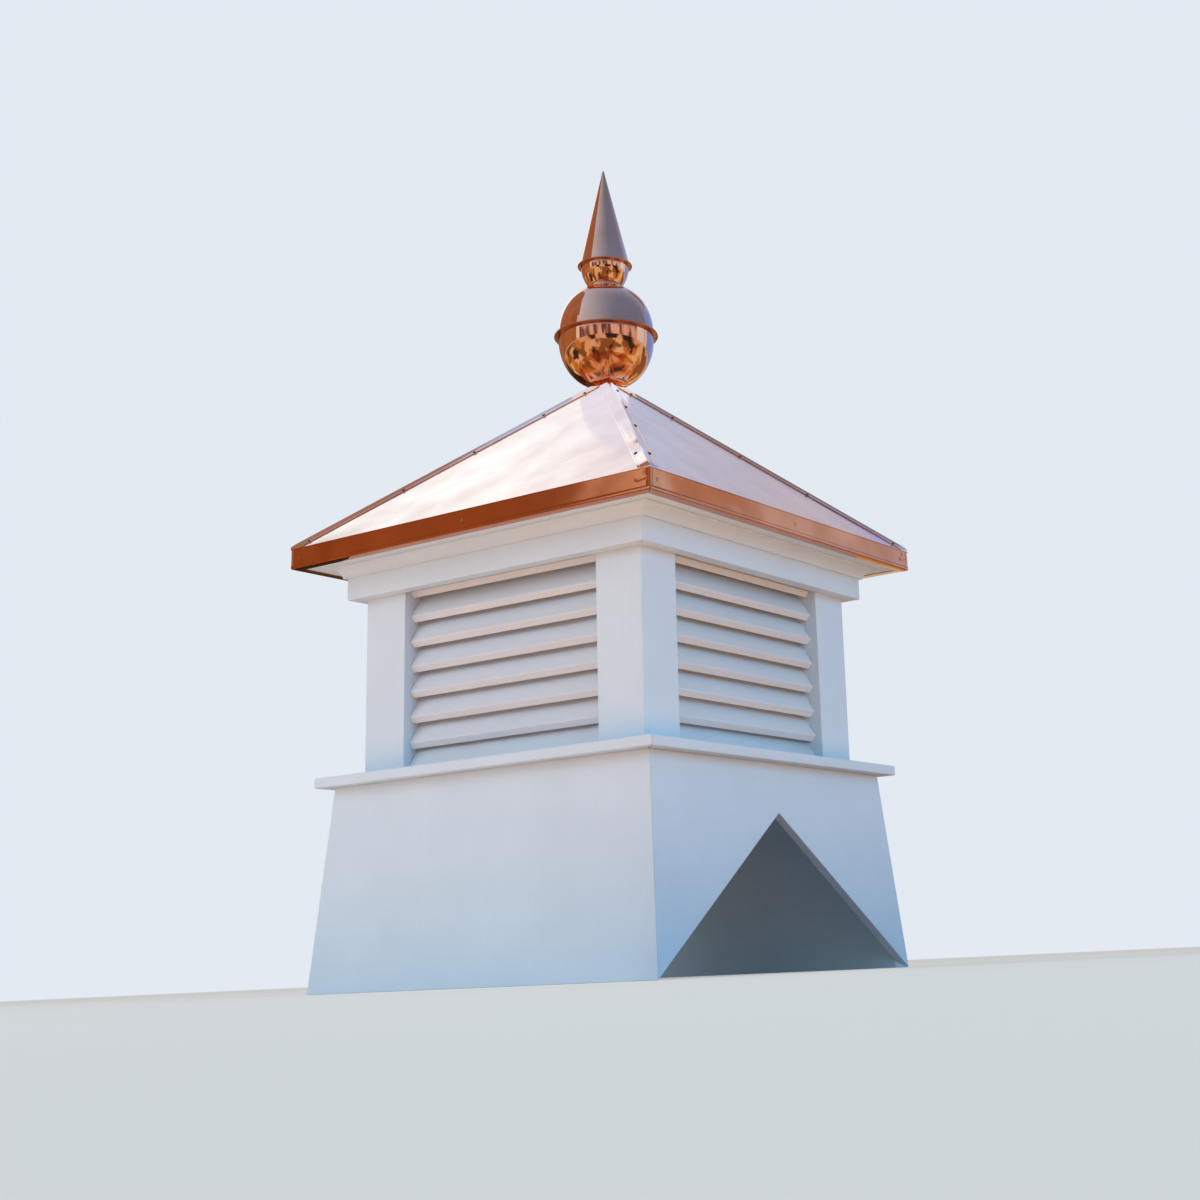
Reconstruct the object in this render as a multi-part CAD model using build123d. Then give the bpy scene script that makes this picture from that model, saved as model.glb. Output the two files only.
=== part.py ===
from build123d import *
import math
import os

# Barn cupola: a square louvered turret that straddles a roof ridge. Sizes are in
# millimetres, +Z is up, and the origin is in the middle of the plane its feet stand on.
# The front (-Y) and back walls run along the ridge and end level. The right (+X) and
# left walls are cut to a V that sits down over the two roof slopes.

# Louvered body: the square that the other widths step out from, with an L of two
# boards at each corner
body_width = 464.0
body_height = 280.5
board_thickness = 19.0
corner_board_face = 70.0

# Base: four battered walls, mitred at the corners. Its top edge stands out past the body
base_top_reach = 26.5
base_batter = 21.0
base_height = 259.0
base_wall = 13.0
saddle_pitch = 35.0

# Shelf: the flat moulding on top of the base, which it overhangs
shelf_overhang = 19.0
shelf_thickness = 13.0

# Louvered vents, one behind each opening, with a ledge of shelf and soffit behind them
blade_pitch = 33.5
blade_thickness = 3.0
blade_fold_radius = 0.6
first_lip_height = 31.2
nose_setback = 9.5
lip_drop = 7.2
lip_return = 6.5
web_run = 20.0
web_rise = 30.4
sill_nose_height = 9.0
vent_side_clearance = 0.5
stile_width = 18.0
stile_depth = 17.5
head_rail_height = 12.0
vent_ledge = 12.5

# Frieze boards and the cove crown planted on them
frieze_height = 43.5
crown_height = 14.0
crown_foot_reach = 4.5
crown_top_reach = 21.5
crown_foot_edge = 2.0
crown_top_edge = 2.5

# Eave: soffit board, roof deck and the copper that wraps their edge. It stands out past
# the frieze
eave_reach = 53.0
soffit_thickness = 12.0
fascia_height = 27.6
fascia_return = 14.0
sheet_thickness = 1.0

# Pyramid roof
roof_rise = 251.0
deck_thickness = 12.0
deck_joint = 0.8
hip_flange = 14.0
peak_cut = 8.0

# Ball and spire: closed spun shells, solid here because nothing opens into them
collar_radius = 11.0
collar_height = 7.0
collar_rim_radius = 18.3
collar_rim_thickness = 2.5
ball_radius = 68.5
band_thickness = 1.6
band_lap = 3.0
bead_sides = 8
ball_bead_radius = 2.0
ball_band_reach = 6.0
cup_lip_radius = 27.5
cup_lip_overhang = 0.6
cup_lip_height = 4.0
cup_foot_radius = 23.0
cup_bulge = 3.0
cup_rim_radius = 34.5
cup_height = 42.0
cup_bead_radius = 1.7
cup_band_reach = 5.0
spire_radius = 36.0
spire_height = 154.0
spire_tip_radius = 1.2

# Heights and half widths that follow from them
body_half = body_width / 2
opening_half = body_half - corner_board_face
ledge_half = body_half - board_thickness - stile_depth - vent_ledge
base_top_half = body_half + base_top_reach
foot_half = base_top_half + base_batter
shelf_half = base_top_half + shelf_overhang
frieze_half = body_half + board_thickness
eave_half = frieze_half + eave_reach
deck_half = eave_half - sheet_thickness
shelf_bottom = base_height
shelf_top = shelf_bottom + shelf_thickness
soffit_bottom = shelf_top + body_height
soffit_top = soffit_bottom + soffit_thickness
frieze_bottom = soffit_bottom - frieze_height
blade_count = math.ceil((frieze_bottom - shelf_top - first_lip_height) / blade_pitch)
fascia_bottom = soffit_bottom - sheet_thickness
eave_height = fascia_bottom + fascia_height
roof_slope = roof_rise / eave_half
slope_length = math.hypot(roof_rise, eave_half)
sheet_drop = sheet_thickness * slope_length / eave_half
deck_drop = deck_thickness * slope_length / eave_half
roof_peak = eave_height + roof_rise
peak_flat = roof_peak - peak_cut
ball_seat = peak_flat + collar_height
ball_centre = ball_seat + math.sqrt(ball_radius ** 2 - collar_rim_radius ** 2)
cup_bottom = ball_centre + math.sqrt(ball_radius ** 2 - (cup_lip_radius - cup_lip_overhang) ** 2)
cup_top = cup_bottom + cup_height
spire_bottom = cup_top + band_thickness
total_height = spire_bottom + spire_height

side_turns = {"front": 0, "right": 90, "back": 180, "left": 270}
corner_turns = {"front_right": 0, "back_right": 90, "back_left": 180, "front_left": 270}


def side_section(points):
    """A closed outline in the plane that cuts the front side, given as (y, z) points."""
    return Plane.YZ * make_face(Polyline(*points, close=True))


def mitred_run(section, joint=0.0):
    """Run a section along the front and mitre both ends on the diagonals, with an open joint there."""
    reach = 2 * eave_half
    wedge = make_face(Polyline((0, 0), (-reach, -reach), (reach, -reach), close=True))
    wedge = Pos(0, -joint * math.sqrt(0.5), 0) * extrude(wedge, amount=total_height)
    return extrude(section, amount=reach, both=True) & wedge


def turned(solid, turn):
    return Rot(0, 0, turn) * solid


def roof_top_at(y):
    """Height of the copper's upper face over the front slope."""
    return roof_peak + roof_slope * y


def base_wall_level():
    return mitred_run(side_section([
        (-foot_half, 0),
        (-base_top_half, base_height),
        (-base_top_half + base_wall, base_height),
        (-foot_half + base_wall, 0),
    ]))


def base_wall_saddle():
    """A base wall cut to the two slopes of the roof that it stands on."""
    saddle_rise = foot_half * math.tan(math.radians(saddle_pitch))
    saddle = make_face(Polyline((-foot_half, 0), (0, saddle_rise), (foot_half, 0), close=True))
    saddle = extrude(Plane.XZ * saddle, amount=2 * foot_half)
    return base_wall_level() - saddle


def shelf_board():
    return mitred_run(side_section([
        (-shelf_half, shelf_bottom),
        (-shelf_half, shelf_top),
        (-ledge_half, shelf_top),
        (-ledge_half, shelf_bottom),
    ]))


def corner_board():
    """Two boards joined to an L round the front right corner."""
    far = body_half - corner_board_face
    inside = body_half - board_thickness
    outline = Polyline(
        (body_half, -body_half),
        (far, -body_half),
        (far, -inside),
        (inside, -inside),
        (inside, -far),
        (body_half, -far),
        close=True,
    )
    return Pos(0, 0, shelf_top) * extrude(make_face(outline), amount=body_height)


def blade_section(lip_height):
    """One blade: a web that slopes out and down to a nose, then a lip turned back in."""
    nose_height = lip_height + lip_drop
    path = FilletPolyline(
        (-body_half + nose_setback + web_run, nose_height + web_rise),
        (-body_half + nose_setback, nose_height),
        (-body_half + nose_setback + lip_return, lip_height),
        radius=blade_fold_radius + blade_thickness,
    )
    return Plane.YZ * make_face(offset(path, blade_thickness, side=Side.LEFT))


def vent():
    """Blades over a sloped sill, between two stiles and under a head rail."""
    face = -body_half
    blade_half = opening_half - vent_side_clearance
    web_back = face + nose_setback + web_run
    frame_front = face + board_thickness
    frame_back = frame_front + stile_depth
    sill_nose = shelf_top + sill_nose_height
    sections = [side_section([
        (face + nose_setback, shelf_top),
        (face + nose_setback, sill_nose),
        (web_back, sill_nose + web_rise),
        (frame_back, sill_nose + web_rise),
        (frame_back, shelf_top),
    ])]
    for index in range(blade_count):
        sections.append(blade_section(shelf_top + first_lip_height + index * blade_pitch))
    head_bottom = soffit_bottom - head_rail_height
    sections.append(side_section([
        (frame_front, head_bottom),
        (frame_front, soffit_bottom),
        (frame_back, soffit_bottom),
        (frame_back, head_bottom),
    ]))
    body = Part() + [extrude(section, amount=blade_half, both=True) for section in sections]
    for side in (-1, 1):
        middle = side * (blade_half + stile_width / 2)
        stile = Box(stile_width, stile_depth, body_height, align=(Align.CENTER, Align.MIN, Align.MIN))
        body += Pos(middle, frame_front, shelf_top) * stile
    return body


def frieze_board():
    return mitred_run(side_section([
        (-frieze_half, frieze_bottom),
        (-frieze_half, soffit_bottom),
        (-body_half, soffit_bottom),
        (-body_half, frieze_bottom),
    ]))


def crown_moulding():
    """A cove that leans out from the frieze face to the soffit."""
    bottom = soffit_bottom - crown_height
    foot = -frieze_half - crown_foot_reach
    top = -frieze_half - crown_top_reach
    cove_foot = (foot, bottom + crown_foot_edge)
    cove_top = (top + crown_top_edge, soffit_bottom - crown_top_edge)
    half_turn = math.cos(math.radians(45))
    cove_middle = (
        foot + (cove_top[0] - foot) * (1 - half_turn),
        cove_foot[1] + (cove_top[1] - cove_foot[1]) * half_turn,
    )
    outline = [
        Line((-frieze_half, bottom), (foot, bottom)),
        Line((foot, bottom), cove_foot),
        ThreePointArc(cove_foot, cove_middle, cove_top),
        Line(cove_top, (top, soffit_bottom - crown_top_edge)),
        Line((top, soffit_bottom - crown_top_edge), (top, soffit_bottom)),
        Line((top, soffit_bottom), (-frieze_half, soffit_bottom)),
        Line((-frieze_half, soffit_bottom), (-frieze_half, bottom)),
    ]
    return mitred_run(Plane.YZ * make_face(outline))


def soffit():
    ring = Rectangle(2 * deck_half, 2 * deck_half) - Rectangle(2 * ledge_half, 2 * ledge_half)
    return Pos(0, 0, soffit_bottom) * extrude(ring, amount=soffit_thickness)


def deck_board():
    """The board under one slope of the roof, level at its foot and at the peak."""
    top_drop = sheet_drop
    under_drop = sheet_drop + deck_drop
    peak_y = (peak_flat + top_drop - roof_peak) / roof_slope
    foot_y = (soffit_top + under_drop - roof_peak) / roof_slope
    return mitred_run(side_section([
        (-deck_half, soffit_top),
        (-deck_half, roof_top_at(-deck_half) - top_drop),
        (peak_y, peak_flat),
        (0, peak_flat),
        (0, roof_peak - under_drop),
        (foot_y, soffit_top),
    ]), deck_joint)


def roof_deck():
    """Four boards that meet at the hips, with an open joint between them."""
    board = deck_board()
    return Compound(children=[turned(board, turn) for turn in side_turns.values()])


def roof_panel():
    """A flat copper triangle, cut level at the peak."""
    return mitred_run(side_section([
        (-eave_half, eave_height - sheet_drop),
        (-eave_half, eave_height),
        ((peak_flat - roof_peak) / roof_slope, peak_flat),
        ((peak_flat - roof_peak + sheet_drop) / roof_slope, peak_flat),
    ]))


def fascia_strip():
    """The copper edge strip, with a return under the soffit."""
    return mitred_run(side_section([
        (-eave_half, fascia_bottom),
        (-eave_half, eave_height - sheet_drop),
        (-deck_half, roof_top_at(-deck_half) - sheet_drop),
        (-deck_half, soffit_bottom),
        (-eave_half + fascia_return, soffit_bottom),
        (-eave_half + fascia_return, fascia_bottom),
    ]))


def hip_cap():
    """A strip bent over the front right hip, trimmed at the eave and the peak."""
    eave_corner = Vector(eave_half, -eave_half, eave_height)
    hip = Vector(-eave_half, eave_half, roof_rise).normalized()
    front_normal = Vector(0, -roof_rise, eave_half).normalized()
    side_normal = Vector(roof_rise, 0, eave_half).normalized()
    front_way = front_normal.cross(hip).normalized()
    side_way = hip.cross(side_normal).normalized()
    crease = (front_normal + side_normal) * (sheet_thickness / (1 + front_normal.dot(side_normal)))
    start = eave_corner - hip * hip_flange
    outline = Polyline(
        start,
        start + front_way * hip_flange,
        start + front_way * hip_flange + front_normal * sheet_thickness,
        start + crease,
        start + side_way * hip_flange + side_normal * sheet_thickness,
        start + side_way * hip_flange,
        close=True,
    )
    strip = extrude(make_face(outline), amount=2 * slope_length, dir=hip)
    quarter = Box(eave_half, eave_half, peak_flat, align=(Align.MIN, Align.MAX, Align.MIN))
    return strip & quarter


def spun(section):
    return revolve(Plane.XZ * section, Axis.Z)


def ball_zone(low, high):
    """The part of the ball between two heights."""
    window = Pos(0, (low + high) / 2) * Rectangle(ball_radius, high - low, align=(Align.MIN, Align.CENTER))
    return spun((Pos(0, ball_centre) * Circle(ball_radius)) & window)


def finial_collar():
    """A short stem with a rim that carries the ball."""
    return spun(make_face(Polyline(
        (0, peak_flat),
        (collar_radius, peak_flat),
        (collar_radius, ball_seat - collar_rim_thickness),
        (collar_rim_radius, ball_seat - collar_rim_thickness),
        (collar_rim_radius, ball_seat),
        (0, ball_seat),
        close=True,
    )))


def band(inner, outer, middle_height, bead_radius):
    """A flat ring with a rolled bead round its edge, drawn with flats."""
    flange = Pos(inner, middle_height) * Rectangle(
        outer - bead_radius - inner, band_thickness, align=(Align.MIN, Align.CENTER)
    )
    bead = RegularPolygon(bead_radius, bead_sides, major_radius=False, rotation=180 / bead_sides)
    return spun(flange + Pos(outer - bead_radius, middle_height) * bead)


def finial_cup():
    """A bowl that widens upwards from a flat lip."""
    wall_foot = cup_bottom + cup_lip_height
    middle_radius = (cup_foot_radius + cup_rim_radius) / 2 + cup_bulge
    middle_height = (wall_foot + cup_top) / 2
    outline = [
        Line((0, cup_bottom), (cup_lip_radius, cup_bottom)),
        Line((cup_lip_radius, cup_bottom), (cup_lip_radius, wall_foot)),
        Line((cup_lip_radius, wall_foot), (cup_foot_radius, wall_foot)),
        ThreePointArc(
            (cup_foot_radius, wall_foot), (middle_radius, middle_height), (cup_rim_radius, cup_top)
        ),
        Line((cup_rim_radius, cup_top), (0, cup_top)),
        Line((0, cup_top), (0, cup_bottom)),
    ]
    return spun(make_face(outline))


def finial_spire():
    """A cone with a small rounded tip."""
    tip_foot = (spire_tip_radius, total_height - spire_tip_radius)
    half_turn = math.cos(math.radians(45))
    tip_middle = (spire_tip_radius * half_turn, total_height - spire_tip_radius * (1 - half_turn))
    outline = [
        Line((spire_radius, spire_bottom), tip_foot),
        ThreePointArc(tip_foot, tip_middle, (0, total_height)),
        Line((0, total_height), (0, spire_bottom)),
        Line((0, spire_bottom), (spire_radius, spire_bottom)),
    ]
    return spun(make_face(outline))


def build_parts():
    parts = {}
    side_pieces = {
        "shelf": shelf_board(),
        "vent": vent(),
        "frieze": frieze_board(),
        "crown": crown_moulding(),
        "fascia": fascia_strip(),
        "roof_panel": roof_panel(),
    }
    base_walls = {"front": base_wall_level(), "right": base_wall_saddle()}
    base_walls["back"] = base_walls["front"]
    base_walls["left"] = base_walls["right"]
    for side, turn in side_turns.items():
        parts[f"base_wall_{side}"] = turned(base_walls[side], turn)
        for piece, solid in side_pieces.items():
            parts[f"{piece}_{side}"] = turned(solid, turn)
    for corner, turn in corner_turns.items():
        parts[f"corner_board_{corner}"] = turned(corner_board(), turn)
        parts[f"hip_cap_{corner}"] = turned(hip_cap(), turn)
    parts["soffit"] = soffit()
    parts["roof_deck"] = roof_deck()
    half_band = band_thickness / 2
    parts["finial_collar"] = finial_collar()
    parts["ball_lower"] = ball_zone(ball_seat, ball_centre - half_band)
    parts["ball_upper"] = ball_zone(ball_centre + half_band, cup_bottom)
    parts["ball_band"] = band(
        ball_radius - band_lap, ball_radius + ball_band_reach, ball_centre, ball_bead_radius
    )
    parts["finial_cup"] = finial_cup()
    parts["cup_band"] = band(
        cup_rim_radius - band_lap, cup_rim_radius + cup_band_reach, cup_top + half_band, cup_bead_radius
    )
    parts["finial_spire"] = finial_spire()
    return parts


os.makedirs("parts", exist_ok=True)
for node, solid in build_parts().items():
    export_step(solid, f"parts/{node}.step")
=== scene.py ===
import math

import bmesh
import bpy
from mathutils import Matrix, Vector, noise


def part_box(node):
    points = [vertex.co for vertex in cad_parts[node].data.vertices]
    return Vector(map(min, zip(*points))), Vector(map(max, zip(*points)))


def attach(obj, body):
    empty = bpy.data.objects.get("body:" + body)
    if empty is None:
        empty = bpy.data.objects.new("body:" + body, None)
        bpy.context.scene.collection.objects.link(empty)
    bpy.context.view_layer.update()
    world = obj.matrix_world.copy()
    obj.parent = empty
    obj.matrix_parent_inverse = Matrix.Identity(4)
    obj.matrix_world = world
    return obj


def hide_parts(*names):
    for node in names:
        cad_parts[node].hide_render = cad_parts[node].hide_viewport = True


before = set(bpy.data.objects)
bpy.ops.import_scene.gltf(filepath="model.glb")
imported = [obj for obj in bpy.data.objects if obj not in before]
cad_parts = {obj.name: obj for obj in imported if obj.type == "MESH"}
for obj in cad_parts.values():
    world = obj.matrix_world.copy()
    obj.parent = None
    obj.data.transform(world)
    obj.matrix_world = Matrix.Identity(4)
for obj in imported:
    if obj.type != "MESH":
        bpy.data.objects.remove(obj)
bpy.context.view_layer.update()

bl_info = {
    "name": "Barn Cupola",
    "version": (1, 0, 0),
    "blender": (4, 5, 0),
    "location": "3D View > Sidebar > Cupola",
    "description": "Dresses the packed frame of a square louvered barn cupola with a copper roof and finial",
    "category": "Object",
}

MM = 0.001
SIDE_TURNS = {"front": 0, "right": 90, "back": 180, "left": 270}
CORNER_TURNS = {"front_right": 0, "back_right": 90, "back_left": 180, "front_left": 270}

# Levels and half widths, read from the frame
FASCIA_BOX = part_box("fascia_front")
EAVE_HALF, FASCIA_INNER = FASCIA_BOX[1].x, -FASCIA_BOX[1].y
FASCIA_BOTTOM, FASCIA_TOP = FASCIA_BOX[0].z, FASCIA_BOX[1].z
SOFFIT_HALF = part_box("soffit")[1].x
SOFFIT_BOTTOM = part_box("soffit")[0].z
PANEL_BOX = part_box("roof_panel_front")
PANEL_FOOT, PANEL_TOP = PANEL_BOX[0].z, PANEL_BOX[1].z
SHELF_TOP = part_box("shelf_front")[1].z
CORNER_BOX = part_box("corner_board_front_right")
BODY_HALF = CORNER_BOX[1].x
CORNER_FACE = BODY_HALF - CORNER_BOX[0].x
BALL_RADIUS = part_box("ball_lower")[1].x
BALL_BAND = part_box("ball_band")
CUP_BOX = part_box("finial_cup")
CUP_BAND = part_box("cup_band")
SPIRE_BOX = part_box("finial_spire")
COLLAR_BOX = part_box("finial_collar")
BALL_CENTRE = (BALL_BAND[0].z + BALL_BAND[1].z) / 2


def to_linear(code):
    """An sRGB hex colour as linear red, green and blue."""
    channels = [int(code[place:place + 2], 16) / 255 for place in (1, 3, 5)]
    return tuple(c / 12.92 if c <= 0.04045 else ((c + 0.055) / 1.055) ** 2.4 for c in channels)


def rgba(code):
    """An sRGB hex colour as linear red, green and blue with full alpha."""
    return (*to_linear(code), 1)


def colour_setting(name, description, code):
    return bpy.props.FloatVectorProperty(
        name=name, description=description, subtype="COLOR", size=3, min=0, max=1, default=to_linear(code))


def length_setting(name, description, default):
    return bpy.props.FloatProperty(
        name=name, description=description, default=default, min=0, max=1, subtype="DISTANCE", unit="LENGTH",
        precision=4)


def count_setting(name, description, default, low, high):
    return bpy.props.IntProperty(name=name, description=description, default=default, min=low, max=high)


def power_setting(name, description, default):
    return bpy.props.FloatProperty(name=name, description=description, default=default, min=0, unit="POWER")


class CupolaSizes(bpy.types.PropertyGroup):
    """Sizes of what is added to the frame."""

    edge_ease: length_setting("Edge ease", "Width of the eased edges of the white boards", 0.9 * MM)
    blade_count: count_setting("Blades", "Blades in each vent", 7, 1, 20)
    blade_pitch: length_setting("Blade pitch", "Height from one blade to the next", 33.5 * MM)
    blade_thickness: length_setting("Blade thickness", "Thickness of a blade", 3.0 * MM)
    hem_height: length_setting("Hem height", "Height of the folded hem along the eave strip", 5.2 * MM)
    seam_lap: length_setting("Seam lap", "Width of the lap at the corners of the eave strip", 7.0 * MM)
    cap_flange: length_setting("Hip cap flange", "Width of a hip cap on each slope", 14.0 * MM)
    sheet_wave: length_setting("Sheet wave", "How far the roof sheets buckle out of flat", 0.5 * MM)
    screw_radius: length_setting("Screw head radius", "Radius of the roof screws' heads", 2.6 * MM)
    nail_radius: length_setting("Nail head radius", "Radius of the nail heads on the eave strip", 2.4 * MM)
    spun_facets: count_setting("Spun facets", "Facets round the spun finial", 160, 16, 256)


class CupolaColours(bpy.types.PropertyGroup):
    """Colours of the finishes."""

    board: colour_setting("Boards", "Cellular PVC board", "#D3E0E9")
    vinyl: colour_setting("Vents", "Moulded vinyl", "#D9DDE2")
    sheet: colour_setting("Roof sheet", "Bright rolled copper sheet", "#F9D5C4")
    strip: colour_setting("Eave strip", "Satin copper strip", "#D48155")
    finial: colour_setting("Finial", "Polished spun copper", "#EFAE88")
    fastener: colour_setting("Fasteners", "Toned copper nails and screws", "#6B4636")
    plywood: colour_setting("Roof boards", "Sheathing plywood", "#CDAE84")


class CupolaStage(bpy.types.PropertyGroup):
    """Floor, background and lamps."""

    floor: colour_setting("Floor", "Pale floor", "#F1ECE6")
    background: colour_setting("Background", "Pale background", "#E3EAF2")
    soft_light: bpy.props.FloatProperty(
        name="Soft light", description="Strength of the light from all round", default=0.53, min=0, max=5)
    key_power: power_setting("Key lamp", "Power of the large lamp at the left", 46.0)
    fill_power: power_setting("Fill lamp", "Power of the cool lamp at the right", 38.0)
    low_power: power_setting("Low lamps", "Power of the warm lamps on the floor, the right one more", 18.0)


def new_object(name, data):
    """An object in the scene, at the origin."""
    thing = bpy.data.objects.new(name, data)
    bpy.context.scene.collection.objects.link(thing)
    return thing


def add_piece(name, mesh, finish, nodes=()):
    """Put a finished mesh in the scene as a piece that rides on the cupola and stands for CAD nodes."""
    piece = new_object(name, mesh)
    mesh.materials.clear()
    mesh.materials.append(finishes()[finish])
    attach(piece, "root")
    if nodes:
        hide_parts(*nodes)
    return piece


def add_turned(name, mesh, turn, finish, nodes=()):
    """Add a copy of a mesh, turned about the upright axis, as a piece."""
    copy = mesh.copy()
    copy.name = name
    copy.transform(Matrix.Rotation(math.radians(turn), 4, "Z"))
    return add_piece(name, copy, finish, nodes)


def plain_mesh(work, name):
    """A bmesh's mesh; the bmesh is freed."""
    mesh = bpy.data.meshes.new(name)
    work.to_mesh(mesh)
    work.free()
    return mesh


def mesh_from(work, name, sharp_angle=20):
    """The mesh of a bmesh of closed shells, smooth except over edges sharper than the angle."""
    bmesh.ops.recalc_face_normals(work, faces=work.faces)
    mesh = plain_mesh(work, name)
    mesh.shade_smooth()
    mesh.set_sharp_from_angle(angle=math.radians(sharp_angle))
    return mesh


def ease_edges(work, width, least_angle=28):
    """Round the edges of a solid that turn by more than an angle."""
    sharp = [edge for edge in work.edges
             if len(edge.link_faces) == 2 and edge.calc_face_angle(0) > math.radians(least_angle)]
    bmesh.ops.bevel(work, geom=sharp, offset=width, offset_type="OFFSET", segments=2,
                    profile=0.5, affect="EDGES", clamp_overlap=True)


def eased_copy(node, width):
    """A copy of a CAD node's mesh, merged, with its edges eased."""
    work = bmesh.new()
    work.from_mesh(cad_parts[node].data)
    bmesh.ops.remove_doubles(work, verts=work.verts, dist=2e-6)
    bmesh.ops.dissolve_limit(work, angle_limit=math.radians(0.5), verts=work.verts, edges=work.edges)
    ease_edges(work, width)
    return mesh_from(work, node)


def add_board(name, node, ease, finish):
    """Add an eased copy of a white board, which stands for its CAD node."""
    add_piece(name, eased_copy(node, ease), finish, [node])


def fill_grid(work, grid, hole=()):
    """Faces between the rows of a grid of vertices, apart from a hole of (row, column) places."""
    for r, (low, high) in enumerate(zip(grid, grid[1:])):
        for c in range(len(low) - 1):
            if (r, c) not in hole:
                work.faces.new((low[c], low[c + 1], high[c + 1], high[c]))


def closed_sheet(pairs, name, sharp_angle=35):
    """A closed sheet over a grid of (outer, inner) pairs of points."""
    work = bmesh.new()
    rows, columns = len(pairs), len(pairs[0])
    skins = [[[work.verts.new(pair[side]) for pair in row] for row in pairs] for side in (0, 1)]
    for skin in skins:
        fill_grid(work, skin)
    rim = [(r, 0) for r in range(rows)] + [(rows - 1, c) for c in range(1, columns)]
    rim += [(r, columns - 1) for r in range(rows - 2, -1, -1)] + [(0, c) for c in range(columns - 2, 0, -1)]
    for (r, c), (next_r, next_c) in zip(rim, rim[1:] + rim[:1]):
        work.faces.new((skins[0][r][c], skins[0][next_r][next_c], skins[1][next_r][next_c], skins[1][r][c]))
    return mesh_from(work, name, sharp_angle)


def extruded(outline, start, end, work):
    """Add a closed (y, z) outline, run along X from start to end, to a bmesh."""
    ends = [[work.verts.new((x, y, z)) for y, z in outline] for x in (start, end)]
    for i in range(len(outline)):
        j = (i + 1) % len(outline)
        work.faces.new((ends[0][i], ends[0][j], ends[1][j], ends[1][i]))
    for cap in ends:
        work.faces.new(cap)


def spun_mesh(profile, facets, name):
    """Turn a profile of (radius, height) points, from its foot to its top, about the upright axis."""
    work = bmesh.new()
    turns = [2 * math.pi * i / facets for i in range(facets)]
    rings = []
    for radius, height in profile:
        ring = [(radius * math.cos(turn), radius * math.sin(turn), height) for turn in turns]
        rings.append([work.verts.new(point) for point in (ring if radius > 1e-6 else [(0, 0, height)])])
    for low, high in zip(rings, rings[1:]):
        for i in range(facets):
            j = (i + 1) % facets
            if len(low) == 1:
                work.faces.new((low[0], high[j], high[i]))
            elif len(high) == 1:
                work.faces.new((low[i], low[j], high[0]))
            else:
                work.faces.new((low[i], low[j], high[j], high[i]))
    return mesh_from(work, name, 30)


def arc(centre, radius, start, end, steps):
    """Points on an arc in a (radius, height) plane, from one angle in degrees to another."""
    points = []
    for i in range(steps + 1):
        angle = math.radians(start + (end - start) * i / steps)
        points.append((centre[0] + radius * math.cos(angle), centre[1] + radius * math.sin(angle)))
    return points


def ripple(place, pitch, seed):
    """Smooth wandering between -1 and 1 at a place, with a pitch in metres."""
    return noise.noise(Vector(place) / pitch + Vector((seed, 0, 0)))


def add_node(tree, kind, inputs=None, **settings):
    """Add a node with its settings, and its inputs set to values or joined to outputs or to other nodes,
    which give their first output."""
    node = tree.nodes.new(kind)
    for name, value in settings.items():
        setattr(node, name, value)
    for name, value in (inputs or {}).items():
        if isinstance(value, bpy.types.Node):
            value = value.outputs[0]
        if isinstance(value, bpy.types.NodeSocket):
            tree.links.new(value, node.inputs[name])
        else:
            node.inputs[name].default_value = value
    return node


def blend(tree, share, low, high):
    """A colour between two, by a share."""
    return add_node(tree, "ShaderNodeMix", {0: share, 6: low, 7: high}, data_type="RGBA").outputs[2]


def spread(tree, value, low, high, start=0.0, end=1.0):
    """A value taken from the range low to high into the range start to end."""
    return add_node(tree, "ShaderNodeMapRange", {
        "Value": value, "From Min": low, "From Max": high, "To Min": start, "To Max": end})


def maths(tree, operation, *values):
    """The result of one sum on values or outputs."""
    return add_node(tree, "ShaderNodeMath", dict(enumerate(values)), operation=operation)


def blotches(tree, place, size, detail, **more):
    """Noise whose features are about a size in metres."""
    return add_node(tree, "ShaderNodeTexNoise", {
        "Vector": place, "Scale": 1 / size, "Detail": detail, **more})


def stretched(tree, place, scale, shift=0.0):
    """Coordinates scaled along each axis, so that a pattern is drawn out along the small ones."""
    return add_node(tree, "ShaderNodeMapping", {"Vector": place, "Location": (shift, 0, 0), "Scale": scale})


def bump(tree, height, strength, distance, **normal):
    """The surface's normal, tilted by a height."""
    return add_node(tree, "ShaderNodeBump", {
        "Height": height, "Strength": strength, "Distance": distance, **normal})


def mixed(tree, share, first, second):
    """A shader between two others, by a share."""
    return add_node(tree, "ShaderNodeMixShader", {0: share, 1: first, 2: second})


def glowing(tree, colour, strength):
    return add_node(tree, "ShaderNodeEmission", {"Color": colour, "Strength": strength})


def principled(tree, inputs):
    return add_node(tree, "ShaderNodeBsdfPrincipled", inputs)


def end_material(tree, shader):
    add_node(tree, "ShaderNodeOutputMaterial", {"Surface": shader})


def new_material(name):
    """An empty material, as (material, tree, Object coordinates)."""
    material = bpy.data.materials.new(name)
    material.use_nodes = True
    tree = material.node_tree
    tree.nodes.clear()
    return material, tree, add_node(tree, "ShaderNodeTexCoord").outputs["Object"]


def shade(colour, level):
    """A colour made lighter or darker, with its alpha."""
    return (*[min(1.0, channel * level) for channel in colour[:3]], 1.0)


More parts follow.
